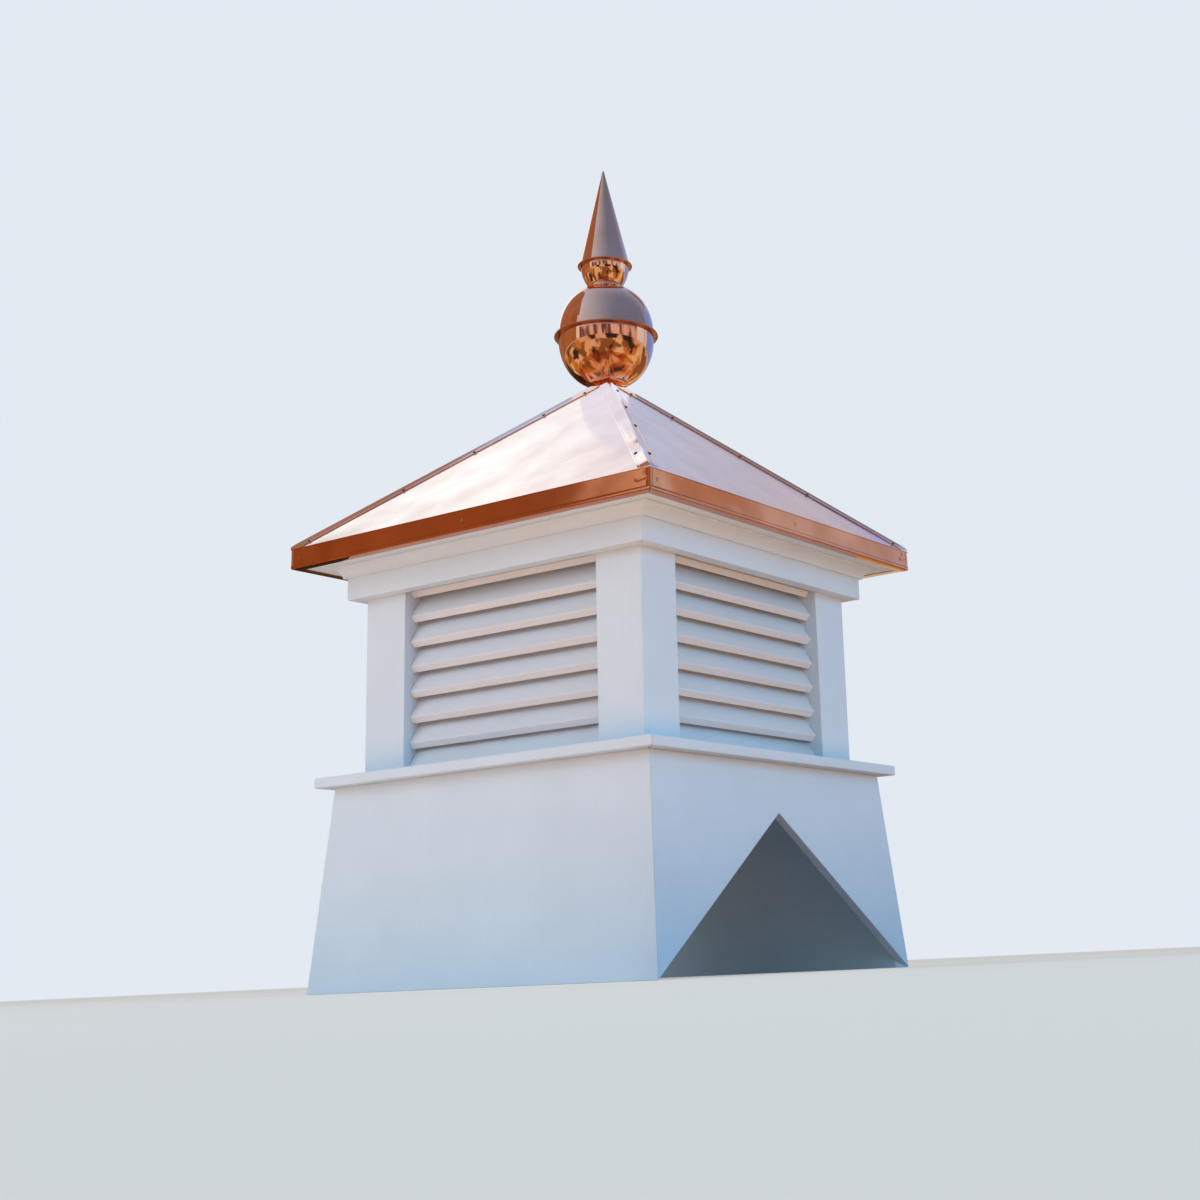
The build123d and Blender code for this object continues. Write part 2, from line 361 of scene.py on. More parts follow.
def cellular_pvc(name, colour, grain):
    """Free foamed PVC board: satin, cool white, with faint lines the way it was extruded and a soft
    unevenness where the foam's skin is thicker, which keeps a large face from looking flat."""
    _, tree, place = new_material(name)
    # die lines about 3 mm apart, 20 to 40 times as long; finer ones would not show in the render
    lines = blotches(tree, stretched(tree, place, grain), 3.0 * MM, 4.0, Roughness=0.65)
    skin = blotches(tree, place, 90 * MM, 3.0)
    grit = blotches(tree, place, 1.6 * MM, 2.0)
    cloudy = blend(tree, spread(tree, skin, 0.3, 0.7), shade(colour, 0.965), shade(colour, 1.015))
    streak = spread(tree, lines, 0.35, 0.65, 0.0, 0.22)
    end_material(tree, principled(tree, {
        "Base Color": blend(tree, streak, cloudy, shade(colour, 0.93)),
        "Roughness": spread(tree, grit, 0, 1, 0.40, 0.56),
        "Normal": bump(tree, grit, 0.12, 0.15 * MM, Normal=bump(tree, lines, 0.22, 0.25 * MM))}))


def moulded_vinyl(name, colour):
    """Injection moulded vinyl: smoother than the boards, a touch warmer, with slow flow marks."""
    _, tree, place = new_material(name)
    flow = blotches(tree, place, 40 * MM, 3.0, Distortion=0.6)
    grain = blotches(tree, place, 2.2 * MM, 2.0)
    end_material(tree, principled(tree, {
        "Base Color": blend(tree, flow, shade(colour, 0.96), shade(colour, 1.02)),
        "Roughness": spread(tree, flow, 0, 1, 0.30, 0.44),
        "Normal": bump(tree, grain, 0.10, 0.15 * MM)}))


def sheathing_plywood(name, colour):
    """Rotary cut face veneer: wavy grain and darker late wood, only seen from below."""
    _, tree, place = new_material(name)
    # veneer figure about 18 mm from ring to ring, drawn out along the board
    figure = add_node(tree, "ShaderNodeTexWave", {
        "Vector": stretched(tree, place, (0.25, 1.0, 1.0)), "Scale": 1 / (60 * MM), "Distortion": 7.0,
        "Detail": 3.0, "Detail Scale": 1.6}, wave_type="BANDS", bands_direction="Y").outputs["Fac"]
    end_material(tree, principled(tree, {
        "Base Color": blend(tree, figure, shade(colour, 1.08), shade(colour, 0.72)),
        "Roughness": 0.75,
        "Normal": bump(tree, figure, 0.25, 0.4 * MM)}))


def copper(name, colour, toned, gloss, buckle, grain):
    """Copper, whose colour is all in its reflections: roughness wanders between two values, the
    surface buckles slowly over a (pitch, depth) in mm, fine lines run the way it was worked, and
    its tone drifts with handling."""
    _, tree, place = new_material(name)
    drift = blotches(tree, place, 70 * MM, 4.0)
    # roll or lathe lines, drawn about 1.5 mm apart because the real ones are too fine to show
    lines = blotches(tree, stretched(tree, place, grain), 1.5 * MM, 3.0)
    waves = blotches(tree, place, buckle[0] * MM, 1.5, Roughness=0.4)
    slow = bump(tree, waves, 0.6, buckle[1] * MM)
    end_material(tree, principled(tree, {
        "Base Color": blend(tree, spread(tree, drift, 0.3, 0.7), shade(colour, 1.04), rgba(toned)),
        "Metallic": 1.0,
        "Roughness": spread(tree, drift, 0.3, 0.7, *gloss),
        "Normal": bump(tree, lines, 0.05, 0.04 * MM, Normal=slow)}))


def finishes():
    """The cupola's materials, made once."""
    if "pvc_board_upright" not in bpy.data.materials:
        colours = bpy.context.scene.cupola_colours
        cellular_pvc("pvc_board_upright", colours.board, (1.0, 1.0, 0.025))
        cellular_pvc("pvc_board_level", colours.board, (0.05, 0.05, 1.0))
        moulded_vinyl("moulded_vinyl_vent", colours.vinyl)
        sheathing_plywood("sheathing_plywood_deck", colours.plywood)
        level = (0.03, 0.03, 1.0)
        # bright mill sheet: nearly mirror like, buckled between its fixings
        copper("rolled_copper_sheet", colours.sheet, "#F2C6B2", (0.12, 0.20), (150, 0.8), level)
        # the same sheet, bent, so with tighter buckles
        copper("bent_copper_cap", colours.sheet, "#F0BFA8", (0.10, 0.18), (45, 0.5), (0.3, 0.3, 1.0))
        # brake formed strip, satin from its film, starting to tone
        copper("satin_copper_strip", colours.strip, "#C06F42", (0.07, 0.13), (60, 0.6), level)
        rings = (0.02, 0.02, 1.0)
        # spun on a lathe and buffed: rings run level round the axis
        copper("polished_spun_copper", colours.finial, "#E59A70", (0.035, 0.07), (50, 0.4), rings)
        # the same copper where it is rolled over a wire, with tool marks that blur what it reflects; its
        # colour is the finial's made darker, painted shade for the darker things it mirrors
        shaded_bead_colour = shade(colours.finial, 0.8)
        copper("rolled_copper_bead", shaded_bead_colour, "#BE7850", (0.32, 0.42), (20, 0.05), rings)
        # nails and screws, browned by handling
        copper("toned_copper_fastener", colours.fastener, "#7A4632", (0.35, 0.5), (4, 0.2), (1.0, 1.0, 1.0))
    return bpy.data.materials


def grown_mesh(source, tree, values):
    """Run a Geometry Nodes tree over a mesh and keep its result as a plain mesh."""
    carrier = new_object("carrier", source)
    modifier = carrier.modifiers.new(tree.name, "NODES")
    modifier.node_group = tree
    for item in tree.interface.items_tree:
        if item.item_type == "SOCKET" and item.in_out == "INPUT" and item.name in values:
            modifier[item.identifier] = values[item.name]
    depsgraph = bpy.context.evaluated_depsgraph_get()
    mesh = bpy.data.meshes.new_from_object(carrier.evaluated_get(depsgraph))
    carrier.modifiers.clear()
    bpy.data.objects.remove(carrier)
    return mesh


def new_tree(name, inputs):
    """A Geometry Nodes tree with a geometry in and out and named inputs, as (tree, what it is given)."""
    tree = bpy.data.node_groups.new(name, "GeometryNodeTree")
    tree.interface.new_socket("Geometry", in_out="INPUT", socket_type="NodeSocketGeometry")
    for label, kind in inputs.items():
        tree.interface.new_socket(label, in_out="INPUT", socket_type=kind)
    tree.interface.new_socket("Geometry", in_out="OUTPUT", socket_type="NodeSocketGeometry")
    return tree, add_node(tree, "NodeGroupInput").outputs


def end_repeat(tree, given, copies):
    """End a tree with copies on points, made real and given their finish."""
    copies = add_node(tree, "GeometryNodeInstanceOnPoints", copies)
    real = add_node(tree, "GeometryNodeRealizeInstances", {"Geometry": copies})
    dressed = add_node(tree, "GeometryNodeSetMaterial", {"Geometry": real, "Material": given["Finish"]})
    add_node(tree, "NodeGroupOutput", {"Geometry": dressed})


def blade_tree():
    """Repeats one blade upwards at an even pitch."""
    tree, given = new_tree("louver_blades", {
        "Blade count": "NodeSocketInt", "Blade pitch": "NodeSocketFloat", "Finish": "NodeSocketMaterial"})
    step = add_node(tree, "ShaderNodeCombineXYZ", {"Z": given["Blade pitch"]})
    seats = add_node(tree, "GeometryNodeMeshLine", {
        "Count": given["Blade count"], "Offset": step}, mode="OFFSET")
    end_repeat(tree, given, {"Points": seats, "Instance": given["Geometry"]})
    return tree


def fastener_tree():
    """Puts a low domed head at each point, facing the way the point says."""
    tree, given = new_tree("fastener_heads", {
        "Head radius": "NodeSocketFloat", "Head height": "NodeSocketFloat", "Finish": "NodeSocketMaterial"})
    dome = add_node(tree, "GeometryNodeMeshUVSphere", {"Segments": 14, "Rings": 8, "Radius": 1.0})
    size = add_node(tree, "ShaderNodeCombineXYZ", {
        "X": given["Head radius"], "Y": given["Head radius"], "Z": given["Head height"]})
    head = add_node(tree, "GeometryNodeTransform", {"Geometry": dome, "Scale": size})
    facing = add_node(tree, "GeometryNodeInputNamedAttribute", {"Name": "facing"}, data_type="FLOAT_VECTOR")
    lean = add_node(tree, "FunctionNodeAlignRotationToVector", {"Vector": facing}, axis="Z")
    end_repeat(tree, given, {"Points": given["Geometry"], "Instance": head, "Rotation": lean})
    return tree


def add_fasteners(name, seats, radius, height, finish):
    """Add a piece with a head at each (place, facing) seat."""
    points = bpy.data.meshes.new(name + "_seats")
    points.from_pydata([place for place, _ in seats], [], [])
    facing = points.attributes.new("facing", "FLOAT_VECTOR", "POINT")
    facing.data.foreach_set("vector", [value for _, way in seats for value in way])
    tree = bpy.data.node_groups.get("fastener_heads") or fastener_tree()
    mesh = grown_mesh(points, tree, {
        "Head radius": radius, "Head height": height, "Finish": finishes()[finish]})
    mesh.name = name
    mesh.shade_smooth()
    add_piece(name, mesh, finish)


ROOF_SLOPE = (PANEL_TOP - PANEL_FOOT) / (EAVE_HALF + PANEL_BOX[1].y)
SLOPE_NORMAL = Vector((0, -ROOF_SLOPE, 1)).normalized()
SIDE_NORMAL = Vector((-SLOPE_NORMAL.y, 0, SLOPE_NORMAL.z))
SHEET_THICKNESS = 1.0 * MM
SHEET_DROP = SHEET_THICKNESS / SLOPE_NORMAL.z


def sheet_top(y):
    """Height of the front roof sheet's upper face."""
    return PANEL_FOOT + SHEET_DROP + ROOF_SLOPE * (EAVE_HALF + y)


PEAK_Y = -(EAVE_HALF - (PANEL_TOP - sheet_top(-EAVE_HALF)) / ROOF_SLOPE)


def slope_y(share):
    """The depth at a share of the way up the front slope."""
    return -EAVE_HALF + (EAVE_HALF + PEAK_Y) * share


def direction(azimuth, elevation):
    """The direction at an azimuth, from -Y towards +X, and an elevation, in degrees."""
    azimuth, elevation = math.radians(azimuth), math.radians(elevation)
    return Vector((math.sin(azimuth) * math.cos(elevation), -math.cos(azimuth) * math.cos(elevation),
                   math.sin(elevation)))


class CUPOLA_OT_base(bpy.types.Operator):
    """Make the battered base boards with eased edges"""

    bl_idname = "cupola.base"
    bl_label = "Base boards"

    def execute(self, context):
        for side in SIDE_TURNS:
            add_board(f"base_board_{side}", f"base_wall_{side}", context.scene.cupola_sizes.edge_ease,
                      "pvc_board_upright")
        return {"FINISHED"}


class CUPOLA_OT_trim(bpy.types.Operator):
    """Make the shelf, corner boards, frieze, crown moulding and soffit with eased edges"""

    bl_idname = "cupola.trim"
    bl_label = "White trim"

    def execute(self, context):
        ease = context.scene.cupola_sizes.edge_ease
        for side in SIDE_TURNS:
            for node, share in (("shelf", 1.6), ("frieze", 1.0), ("crown", 0.5)):
                add_board(f"{node}_board_{side}", f"{node}_{side}", ease * share, "pvc_board_level")
        for corner in CORNER_TURNS:
            add_board(f"corner_post_{corner}", f"corner_board_{corner}", ease, "pvc_board_upright")
        add_board("soffit_board", "soffit", ease * 0.5, "pvc_board_level")
        return {"FINISHED"}


class CUPOLA_OT_vents(bpy.types.Operator):
    """Make the louvered vents: blades at an even pitch over a sloped sill, between stiles"""

    bl_idname = "cupola.vents"
    bl_label = "Louvered vents"

    # a blade's folds, from its nose back up the web and down the lip
    nose_y = -BODY_HALF + 9.5 * MM
    web_run = 20.0 * MM
    web_rise = 30.4 * MM
    lip_return = 6.5 * MM
    lip_drop = 7.2 * MM
    first_lip = SHELF_TOP + 31.2 * MM
    nose_radius = 1.8 * MM
    nose_steps = 8
    # the surround
    stile_width = 18 * MM
    frame_y = -BODY_HALF + 19 * MM
    sill_nose = SHELF_TOP + 9 * MM
    head_rail = 12 * MM
    side_gap = 0.5 * MM

    def blade(self, half_length, thickness):
        """One blade's mesh, with a round nose and rounded edges, at the height of the first."""
        lip = Vector((self.nose_y + self.lip_return, self.first_lip))
        nose = Vector((self.nose_y, lip.y + self.lip_drop))
        web = Vector((nose.x + self.web_run, nose.y + self.web_rise))
        lip_way, web_way = (lip - nose).normalized(), (web - nose).normalized()
        half_opening = math.acos(lip_way.dot(web_way)) / 2
        back = self.nose_radius / math.tan(half_opening)
        middle = nose + (lip_way + web_way).normalized() * (self.nose_radius / math.sin(half_opening))
        start, end = nose + web_way * back - middle, nose + lip_way * back - middle
        sweep = math.atan2(start.x * end.y - start.y * end.x, start.dot(end))
        # (point, way out) along the blade's face
        path = [(web, start.normalized())]
        for i in range(self.nose_steps + 1):
            spoke = Matrix.Rotation(sweep * i / self.nose_steps, 2) @ start
            path.append((middle + spoke, spoke.normalized()))
        path.append((lip, end.normalized()))
        outline = [tuple(point) for point, _ in path]
        outline += [tuple(point - out * thickness) for point, out in reversed(path)]
        work = bmesh.new()
        extruded(outline, -half_length, half_length, work)
        ease_edges(work, 0.5 * MM, least_angle=50)
        return mesh_from(work, "blade", 30)

    def surround(self, half_length):
        """Sill, stiles and head rail as one bmesh."""
        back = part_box("vent_front")[1].y
        web_y, web_top = self.nose_y + self.web_run, self.sill_nose + self.web_rise
        work = bmesh.new()
        sill = [(self.nose_y, SHELF_TOP), (self.nose_y, self.sill_nose), (web_y, web_top)]
        extruded(sill + [(back, web_top), (back, SHELF_TOP)], -half_length, half_length, work)
        reach, front, top = half_length + self.stile_width, self.frame_y, SOFFIT_BOTTOM
        for low, start, end in ((top - self.head_rail, -half_length, half_length),
                                (SHELF_TOP, -reach, -half_length), (SHELF_TOP, half_length, reach)):
            extruded([(front, low), (front, top), (back, top), (back, low)], start, end, work)
        bmesh.ops.recalc_face_normals(work, faces=work.faces)
        ease_edges(work, 0.7 * MM)
        return work

    def execute(self, context):
        sizes = context.scene.cupola_sizes
        half_length = BODY_HALF - CORNER_FACE - self.side_gap
        work = self.surround(half_length)
        work.from_mesh(grown_mesh(self.blade(half_length, sizes.blade_thickness), blade_tree(), {
            "Blade count": sizes.blade_count, "Blade pitch": sizes.blade_pitch,
            "Finish": finishes()["moulded_vinyl_vent"]}))
        vent = mesh_from(work, "vent", 30)
        for side, turn in SIDE_TURNS.items():
            add_turned(f"louvered_vent_{side}", vent, turn, "moulded_vinyl_vent",
                       [f"vent_{side}"])
        return {"FINISHED"}


class CUPOLA_OT_roof(bpy.types.Operator):
    """Make the four roof sheets, slightly buckled between their fixings"""

    bl_idname = "cupola.roof"
    bl_label = "Roof sheets"

    steps = 36
    wave_pitch = 0.16
    seed_step = 7.3
    # a face this steep is the sheet's cut edge
    edge_slope = 0.2

    def pair(self, up, across, wave, seed):
        """The sheet's upper and lower point at a share of the way up, and -1 to 1 of the way across."""
        y = slope_y(up)
        top = Vector((-y * across, y, sheet_top(y)))
        calm = math.sin(math.pi * up) * (1 - across ** 4)
        sink = wave * (0.5 + 0.5 * ripple(top, self.wave_pitch, seed)) * calm
        return top - SLOPE_NORMAL * sink, top - Vector((0, 0, SHEET_DROP))

    def execute(self, context):
        wave = context.scene.cupola_sizes.sheet_wave
        shares = [i / self.steps for i in range(self.steps + 1)]
        for index, (side, turn) in enumerate(SIDE_TURNS.items()):
            pairs = [[self.pair(up, 2 * along - 1, wave, index * self.seed_step) for along in shares]
                     for up in shares]
            piece = add_turned(f"roof_sheet_{side}", closed_sheet(pairs, "roof_sheet"), turn,
                               "rolled_copper_sheet", [f"roof_panel_{side}"])
            # the cut edge is as toned as the strip below it
            piece.data.materials.append(finishes()["satin_copper_strip"])
            for face in piece.data.polygons:
                face.material_index = int(abs(face.normal.z) < self.edge_slope)
        return {"FINISHED"}


class CUPOLA_OT_eave(bpy.types.Operator):
    """Make the copper eave strips, with a hem, a return under the soffit and lapped corners"""

    bl_idname = "cupola.eave"
    bl_label = "Eave strips"

    recess = 0.5 * MM
    face = EAVE_HALF - recess
    face_height = FASCIA_TOP - FASCIA_BOTTOM
    bend = 1.2 * MM
    return_end = FASCIA_INNER + 6 * MM
    corner_cut = 1.4 * MM
    dent_depth, dent_pitch, seed_step = 0.25 * MM, 0.07, 3.1
    crease_reach, crease_depth, hollow_depth = 22 * MM, 0.28 * MM, 0.15 * MM
    nail_places = (-0.955, 0.02, 0.93)

    def execute(self, context):
        sizes = context.scene.cupola_sizes
        hem_top = FASCIA_BOTTOM + sizes.hem_height
        # (half width, height) of the outer skin, from the edge of the return round to the top
        path = [(FASCIA_INNER, FASCIA_BOTTOM), (FASCIA_INNER + 4 * MM, FASCIA_BOTTOM)]
        path += arc((EAVE_HALF - self.bend, FASCIA_BOTTOM + self.bend), self.bend, -90, 0, 5)
        path += [(EAVE_HALF, hem_top - 0.5 * MM), (EAVE_HALF - 0.15 * MM, hem_top - 0.1 * MM)]
        steps = 16
        path += [(self.face, hem_top + (FASCIA_TOP - hem_top) * i / steps) for i in range(steps + 1)]
        columns, close = 48, 18
        shares = [2 * c / columns - 1 for c in range(columns - 2)]
        # closer columns near the right end, where the crease is
        shares += [shares[-1] + (1 - shares[-1]) * (c + 1) / close for c in range(close)]
        for index, (side, turn) in enumerate(SIDE_TURNS.items()):
            pairs = [[self.pair(half, height, across, index * self.seed_step) for across in shares]
                     for half, height in path]
            add_turned(f"eave_strip_{side}", closed_sheet(pairs, "eave_strip"), turn,
                       "satin_copper_strip", [f"fascia_{side}"])
        self.laps(sizes.seam_lap)
        self.nails(sizes.nail_radius)
        return {"FINISHED"}

    def pair(self, half, height, across, seed):
        """The strip's outer and inner point, at -1 to 1 of the way along it."""
        dent = 0.0
        if abs(half - self.face) < 1e-9 and height < FASCIA_TOP - 1e-9:
            # drawn out along the strip
            dent = self.dent_depth * ripple((across * half, height * 3, 0), self.dent_pitch, seed)
            dent += self.crease(half * (1 - across), height)
        short = self.corner_cut if half > self.return_end else 0
        back = min(half, SOFFIT_HALF)
        return (Vector(((half - short) * across, -half + dent, height)),
                Vector((back * across, -back, max(height, SOFFIT_BOTTOM))))

    def crease(self, from_corner, height):
        """How far the strip is pushed in by the fold between its end rivet and the corner."""
        along = self.crease_reach - from_corner
        if along < 0:
            return 0.0
        # the fold climbs a little towards the corner, with a round hollow above it
        off = (height - FASCIA_BOTTOM - 0.50 * self.face_height - 0.12 * along) / (1.5 * MM)
        fold = self.crease_depth * math.exp(-off * off) * min(1, along / (3 * MM))
        hollow = math.hypot((from_corner - 11 * MM) / (5 * MM), (height - FASCIA_TOP + 5 * MM) / (4 * MM))
        return fold + self.hollow_depth * math.exp(-hollow * hollow)

    def laps(self, width):
        """The end of each strip, folded round the corner on to its neighbour."""
        radius, back = 3.0 * MM, 0.9 * MM
        low, high, levels, turns = FASCIA_BOTTOM + 0.6 * MM, FASCIA_TOP - 0.4 * MM, 14, 8
        bend = (radius + 0.5 * MM, 0.1 * MM)
        pairs = []
        for i in range(levels + 1):
            height = low + (high - low) * i / levels
            reach = width + 0.25 * MM * ripple((0, 0, height), 0.006, 5.0)
            pinch = 0.30 * MM * (0.5 + 0.5 * ripple((0, 0, height), 0.011, 2.0))
            # (distance from the corner, depth of the skin) along each face
            front = ((reach, 0.45 * MM + pinch), (reach - 0.8 * MM, 0.05 * MM), (bend[0], bend[1] + pinch))
            side = (bend, (reach - 1.8 * MM, 0.05 * MM), (reach - 1.0 * MM, 0.45 * MM))
            row = [[Vector((EAVE_HALF - along, deep - EAVE_HALF, height)) for deep in (depth, back)]
                   for along, depth in front]
            middle = Vector((EAVE_HALF - radius, radius - EAVE_HALF, height))
            for step in range(turns + 1):
                way = direction(90 * step / turns, 0)
                row.append([middle + way * (radius - deep) for deep in (0.05 * MM, back)])
            row += [[Vector((EAVE_HALF - deep, along - EAVE_HALF, height)) for deep in (depth, back)]
                    for along, depth in side]
            pairs.append(row)
        lap = closed_sheet(pairs, "corner_lap", 40)
        for corner, turn in CORNER_TURNS.items():
            add_turned(f"corner_lap_{corner}", lap, turn, "satin_copper_strip")

    def nails(self, radius):
        """Flat heads along the strips: one near each end and one by the middle."""
        height = FASCIA_BOTTOM + 0.52 * self.face_height
        seats = []
        for turn in SIDE_TURNS.values():
            way = Matrix.Rotation(math.radians(turn), 3, "Z")
            seats += [(way @ Vector((across * self.face, -self.face, height)), way @ Vector((0, -1, 0)))
                      for across in self.nail_places]
        add_fasteners("eave_nails", seats, radius, self.recess * 0.95, "satin_copper_strip")


class CUPOLA_OT_hip_caps(bpy.types.Operator):
    """Make the bent copper caps over the hips and the screws that hold them"""

    bl_idname = "cupola.hip_caps"
    bl_label = "Hip caps"

    rows = 60
    # half of the section, from a flange's edge over its hem to the fold: (share of the width, lift in mm)
    hem_end = 0.84
    section = ((-1.0, 1.1), (-0.96, 1.45), (-hem_end, 1.5), (-0.816, 1.15), (-0.6, 2.05), (-0.35, 2.6),
               (-0.10, 3.2), (-0.05, 3.4), (0, 3.5))
    # the near cap's fold is beaten down over a short length: its middle and reach as shares of the way up,
    # how far it is beaten down, and the lift it comes down to, in mm
    beaten_middle, beaten_reach, beaten_share, beaten_lift = 0.19, 0.05, 0.8, 1.15
    # how far the flanges wander, in mm, and over what length
    wander, wander_pitch, seed_step = 0.18, 0.045, 5.7
    # (share of the way up, share of the width) of the screws; the near cap's sit closer to its fold
    near_screws = ((0.13, -0.6), (0.13, 0.6), (0.44, 0.6), (0.67, 0.6), (0.89, 0.6))
    screws = tuple((up, across) for up in (0.035, 0.33, 0.56, 0.79, 0.93) for across in (-0.82, 0.82))

    def place(self, y, across, lift):
        """A point on the front right cap, across it at depth y and lifted off the sheet."""
        height = sheet_top(y)
        if across <= 0:
            return Vector((-y + across, y, height)) + SLOPE_NORMAL * lift
        return Vector((-y, y + across, height)) + SIDE_NORMAL * lift

    def pair(self, y, reach, share, lift, seed):
        """The cap's upper and lower point at a depth and a share of its half width."""
        across = share * min(reach, -y)
        spot = self.place(y, across, 0) + Vector((0, 0, share * 0.04))
        wander = self.wander * ripple(spot, self.wander_pitch, seed) * abs(share)
        pair = self.place(y, across, (lift + wander) * MM), self.place(y, across, -0.1 * MM)
        for point in pair:
            point.x, point.y = min(point.x, EAVE_HALF), max(point.y, -EAVE_HALF)
        return pair

    def execute(self, context):
        sizes = context.scene.cupola_sizes
        slant = math.sqrt(1 + ROOF_SLOPE ** 2)
        # how far the flange's edge is from the hip along a level line on the sheet
        reach = sizes.cap_flange * math.hypot(1, slant) / slant
        section = self.section + tuple((-share, lift) for share, lift in reversed(self.section[:-1]))
        seats = []
        for index, (corner, turn) in enumerate(CORNER_TURNS.items()):
            near = corner == "front_right"
            pairs = []
            for r in range(self.rows + 1):
                up = r / self.rows
                off = (up - self.beaten_middle) / self.beaten_reach
                beaten = self.beaten_share * math.exp(-off ** 4) if near else 0
                row = []
                for share, lift in section:
                    if abs(share) < self.hem_end:
                        lift -= beaten * (lift - self.beaten_lift)
                    row.append(self.pair(slope_y(up), reach, share, lift, index * self.seed_step))
                pairs.append(row)
            add_turned(f"bent_hip_cap_{corner}", closed_sheet(pairs, "hip_cap", 40), turn,
                       "bent_copper_cap", [f"hip_cap_{corner}"])
            way = Matrix.Rotation(math.radians(turn), 3, "Z")
            lift = 1.9 * MM if near else 1.3 * MM
            for up, across in self.near_screws if near else self.screws:
                y = slope_y(up)
                facing = SLOPE_NORMAL if across < 0 else SIDE_NORMAL
                seats.append((way @ self.place(y, across * min(reach, -y), lift), way @ facing))
        add_fasteners("hip_cap_screws", seats, sizes.screw_radius, 1.3 * MM, "toned_copper_fastener")
        return {"FINISHED"}


class CUPOLA_OT_finial(bpy.types.Operator):
    """Make the spun copper finial: collar, ball, cup and spire, with rolled beads"""

    bl_idname = "cupola.finial"
    bl_label = "Finial"

    # the ball is taller than a sphere by the rise each way, and fuller; its foot clears the peak
    rise = 9.0 * MM
    fullness = 2.2
    peak_gap = 1.5 * MM
    # how far the cup's rim and the spire's foot lie above the frame's
    rim_rise = 3.0 * MM
    # half the thickness of a bead's flange, and how thick the bead is against the frame's
    flat = 0.8 * MM
    bead_share = 0.6

    def execute(self, context):
        facets = context.scene.cupola_sizes.spun_facets
        seat, cup_seat = PANEL_TOP + self.peak_gap, CUP_BOX[0].z + self.rise
        for name, profile, node in (
                ("spun_collar", self.collar(), "finial_collar"),
                ("spun_ball_lower", self.half_ball(seat, BALL_CENTRE - self.flat), "ball_lower"),
                ("spun_ball_upper", self.half_ball(BALL_CENTRE + self.flat, cup_seat), "ball_upper"),
                ("rolled_ball_bead", self.ring(BALL_RADIUS - 3 * MM, BALL_BAND, 0), "ball_band"),
                ("spun_cup", self.cup(), "finial_cup"),
                ("rolled_cup_bead", self.ring(31.5 * MM, CUP_BAND, self.rim_rise), "cup_band"),
                ("spun_spire", self.spire(), "finial_spire")):
            finish = "rolled_copper_bead" if name.startswith("rolled") else "polished_spun_copper"
            add_piece(name, spun_mesh(profile, facets, name), finish, [node])
        return {"FINISHED"}

    def collar(self):
        stem, bend = 11 * MM, 1.2 * MM
        low, high, rim = COLLAR_BOX[0].z, COLLAR_BOX[1].z, COLLAR_BOX[1].x
        profile = [(0, low), (stem, low), (stem, high - 3.4 * MM), (rim - 1.0 * MM, high - 2.5 * MM)]
        profile += arc((rim - bend, high - 1.25 * MM), bend, -80, 80, 8)
        return profile + [(rim - 1.4 * MM, high), (0, high)]

    def ring(self, inner, band, rise):
        """A flat flange that ends in a round rolled bead, over a band of the frame moved up by a rise."""
        middle = (band[0].z + band[1].z) / 2 + rise
        shaded_bead_colour = (band[1].z - band[0].z) / 2 * self.bead_share
        start = math.degrees(math.asin(self.flat / shaded_bead_colour))
        profile = [(0, middle - self.flat), (inner, middle - self.flat)]
        profile += arc((band[1].x - shaded_bead_colour, middle), shaded_bead_colour, -180 + start, 180 - start, 22)
        return profile + [(inner, middle + self.flat), (0, middle + self.flat)]

    def half_ball(self, low, high):
        """The ball between two heights: a little taller and fuller than a sphere, as two spun halves are."""
        tall, steps = BALL_RADIUS + self.rise, 48
        start, end = [math.asin((level - BALL_CENTRE) / tall) for level in (low, high)]
        profile = [(0, low)]
        for i in range(steps + 1):
            height = tall * math.sin(start + (end - start) * i / steps)
            share = 1 - (abs(height) / tall) ** self.fullness
            profile.append((BALL_RADIUS * share ** (1 / self.fullness), BALL_CENTRE + height))
        return profile + [(0, high)]

    def cup(self):
        low, high = CUP_BOX[0].z + self.rise, CUP_BOX[1].z + self.rim_rise
        lip, foot, rim, bulge, lip_top = 27.5 * MM, 23 * MM, 34.5 * MM, 3 * MM, low + 4 * MM
        profile = [(0, low), (lip - 0.6 * MM, low)]
        profile += arc((lip - 0.9 * MM, low + 0.9 * MM), 0.9 * MM, -70, 0, 4)
        profile += arc((lip - 1.2 * MM, lip_top - 1.2 * MM), 1.2 * MM, 0, 80, 5)
        profile += [(foot + 0.8 * MM, lip_top - 0.1 * MM), (foot, lip_top + 0.6 * MM)]
        steps = 24
        for t in [i / steps for i in range(1, steps + 1)]:
            radius = foot + (rim - foot) * t + bulge * 4 * t * (1 - t)
            profile.append((radius, lip_top + (high - lip_top) * t))
        return profile + [(0, high)]

    def spire(self):
        low, high = SPIRE_BOX[0].z + self.rim_rise, SPIRE_BOX[1].z
        radius, tip, steps = SPIRE_BOX[1].x, 1.2 * MM, 30
        profile = [(0, low), (radius - 0.6 * MM, low), (radius, low + 0.6 * MM)]
        for t in [i / steps for i in range(1, steps)]:
            profile.append((radius + (tip - radius) * t, low + (high - tip - low) * t))
        return profile + arc((0, high - tip), tip, 0, 90, 6)[:-1] + [(0, high)]


class CUPOLA_OT_deck(bpy.types.Operator):
    """Finish the roof boards, which show only from below"""

    bl_idname = "cupola.deck"
    bl_label = "Roof boards"

    def execute(self, context):
        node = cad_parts["roof_deck"]
        for place in node.material_slots:
            place.material = finishes()["sheathing_plywood_deck"]
        return {"FINISHED"}


